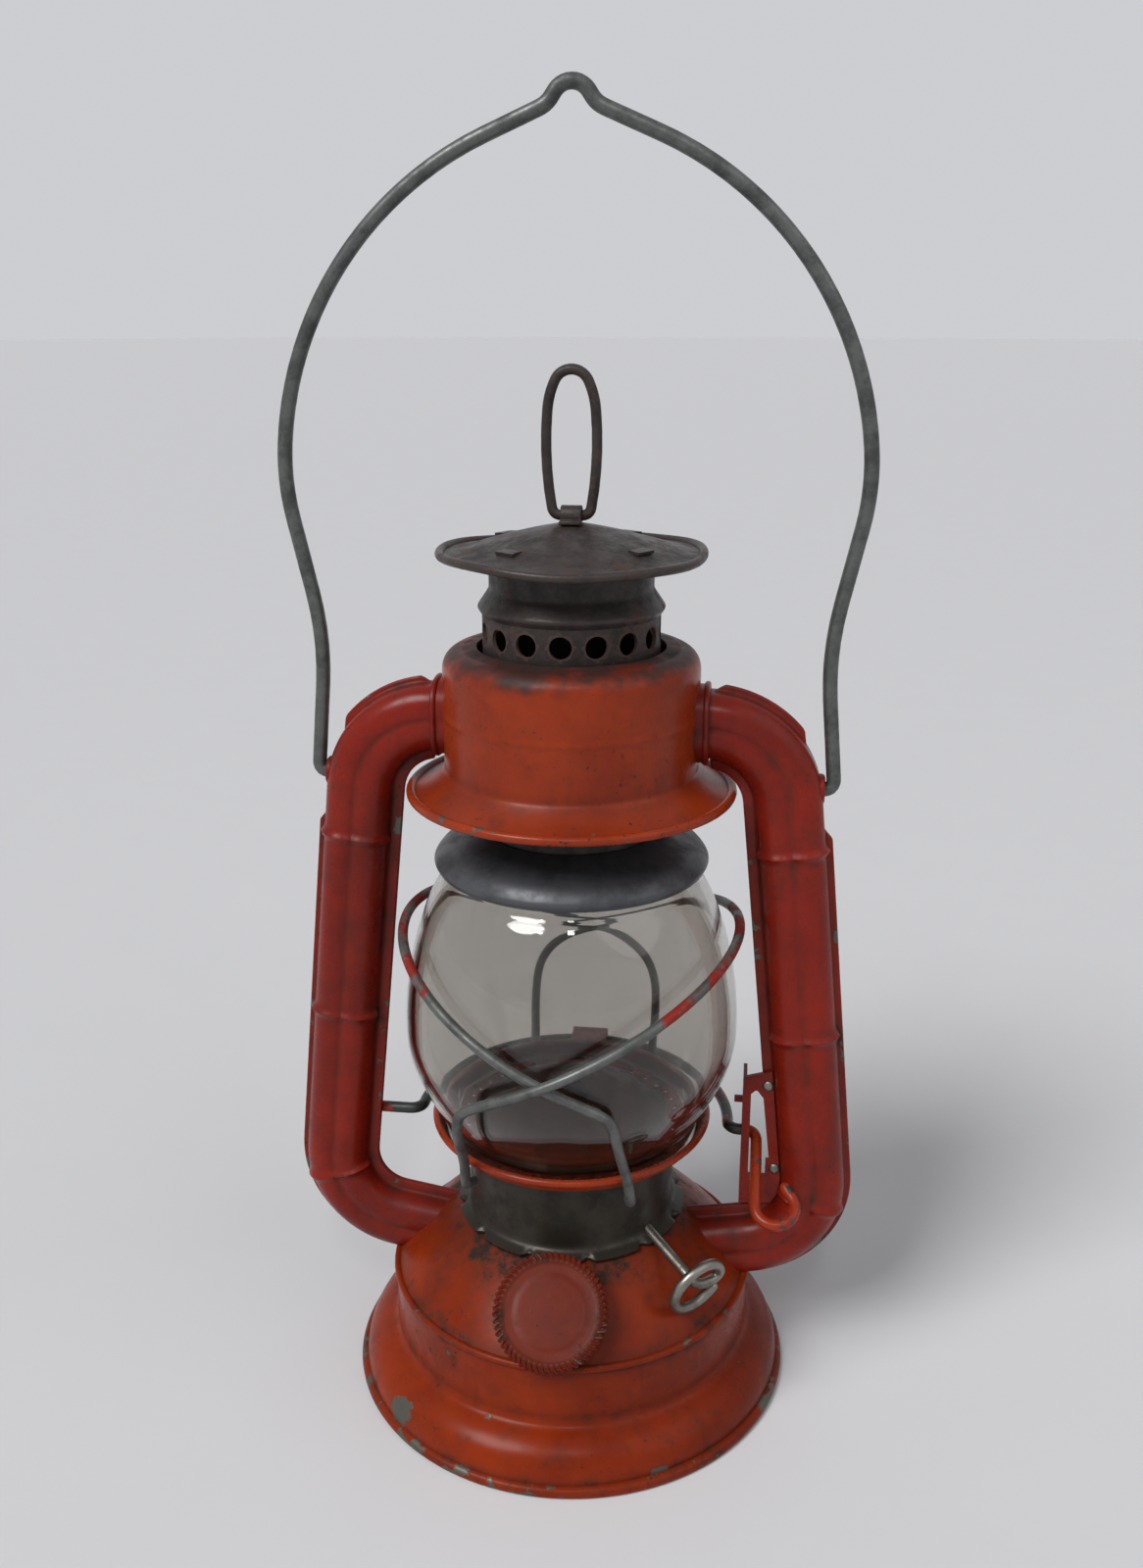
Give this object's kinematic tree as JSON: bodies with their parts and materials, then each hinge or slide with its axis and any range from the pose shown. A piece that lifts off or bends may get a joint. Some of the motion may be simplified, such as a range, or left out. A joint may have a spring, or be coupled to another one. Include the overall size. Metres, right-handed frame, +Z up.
{
  "type": "kerosene lantern",
  "caption": "Cold-blast kerosene lantern with a seamed tin frame, lever-raised glass globe, lifting chimney, flat wick burner, screw filler cap and wire bail.",
  "frame": {"origin": "centre of the base, on the surface that the lantern stands on", "axes": "+Z up the lantern's axis, -Y towards the filler cap at the front, +X towards the globe lever"},
  "size_m": [0.1394, 0.11, 0.3054],
  "materials": {
    "enamel_red": "worn satin enamel",
    "enamel_orange": "satin enamel with soot",
    "enamel_lever": "chipped enamel on wire",
    "enamel_cap": "faded enamel",
    "tinplate": "dull tin",
    "dark_tin": "darkened tin",
    "sooty_steel": "soot on enamel",
    "galvanised_wire": "dull zinc",
    "bright_steel": "tarnished bright steel",
    "burner_brass": "heat-darkened brass",
    "clear_glass": "clear with a slight haze",
    "wick_cotton": "woven cotton",
    "gasket_rubber": "black rubber"
  },
  "bodies": {
    "frame": {"fount_bowl": "enamel_red", "fount_bottom": "enamel_red", "tank_top": "tinplate", "air_dome": "enamel_red", "filler_neck": "tinplate", "burner_collar": "dark_tin", "burner_body": "dark_tin", "wick_tube": "dark_tin", "hood": "enamel_orange", "tube_ferrules": "enamel_orange", "left_tube_front": "enamel_red", "left_tube_back": "enamel_red", "right_tube_front": "enamel_red", "right_tube_back": "enamel_red", "bail_ears": "enamel_red", "lift_bracket": "enamel_red", "bracket_rivets": "tinplate", "chimney_spring": "bright_steel"},
    "bail": {"bail": "galvanised_wire"},
    "lift_crank": {"lift_crank": "enamel_lever"},
    "globe_carrier": {"globe_plate": "enamel_red", "burner_cone": "burner_brass", "globe": "clear_glass", "guard_wire_left": "galvanised_wire", "guard_wire_right": "galvanised_wire"},
    "chimney": {"canopy": "sooty_steel", "chimney_tube": "sooty_steel", "globe_retainer": "dark_tin", "ring_bridge": "sooty_steel"},
    "lift_ring": {"lift_ring": "sooty_steel"},
    "wick_shaft": {"wick_shaft": "bright_steel", "spur_wheels": "burner_brass"},
    "wick": {"wick": "wick_cotton"},
    "filler_seal": {"cap_gasket": "gasket_rubber"},
    "filler_cap": {"filler_cap": "enamel_cap"}
  },
  "joints": [
    {"name": "bail_swing", "type": "hinge", "parent": "frame", "child": "bail", "pos_m": [0, 0, 0.1565], "axis": [1, 0, 0], "range_deg": [-120, 120]},
    {"name": "lever_press", "type": "hinge", "parent": "frame", "child": "lift_crank", "pos_m": [0, 0.0024, 0.0655], "axis": [1, 0, 0], "range_deg": [0, 11]},
    {"name": "globe_lift", "type": "slide", "parent": "frame", "child": "globe_carrier", "axis": [0, 0, 1], "range_m": [0, 0.00804]},
    {"name": "chimney_lift", "type": "slide", "parent": "globe_carrier", "child": "chimney", "axis": [0, 0, 1], "range_m": [0, 0.006], "deforming": ["chimney_spring"]},
    {"name": "lift_ring_swing", "type": "hinge", "parent": "chimney", "child": "lift_ring", "pos_m": [0, 0, 0.2174], "axis": [1, 0, 0], "range_deg": [-90, 90]},
    {"name": "wick_turn", "type": "hinge", "parent": "frame", "child": "wick_shaft", "pos_m": [0.00306, 0.00295, 0.05462], "axis": [-0.6643, 0.6879, 0.2924], "range_deg": [-90, 160]},
    {"name": "wick_raise", "type": "slide", "parent": "frame", "child": "wick", "axis": [0, 0, 1], "range_m": [-0.00504, 0.00895]},
    {"name": "cap_rise", "type": "slide", "parent": "frame", "child": "filler_seal", "axis": [0, -0.7071, 0.7071], "range_m": [0, 0.00401]},
    {"name": "cap_turn", "type": "hinge", "parent": "filler_seal", "child": "filler_cap", "pos_m": [0, -0.03705, 0.03682], "axis": [0, -0.7071, 0.7071], "range_deg": [0, 720]}
  ],
  "couplings": [
    {"joint": "lever_press", "follows": "globe_lift", "rad_per_m": 23.866},
    {"joint": "wick_raise", "follows": "wick_turn", "m_per_rad": 0.0032},
    {"joint": "cap_rise", "follows": "cap_turn", "m_per_rad": 0.00031831}
  ]
}
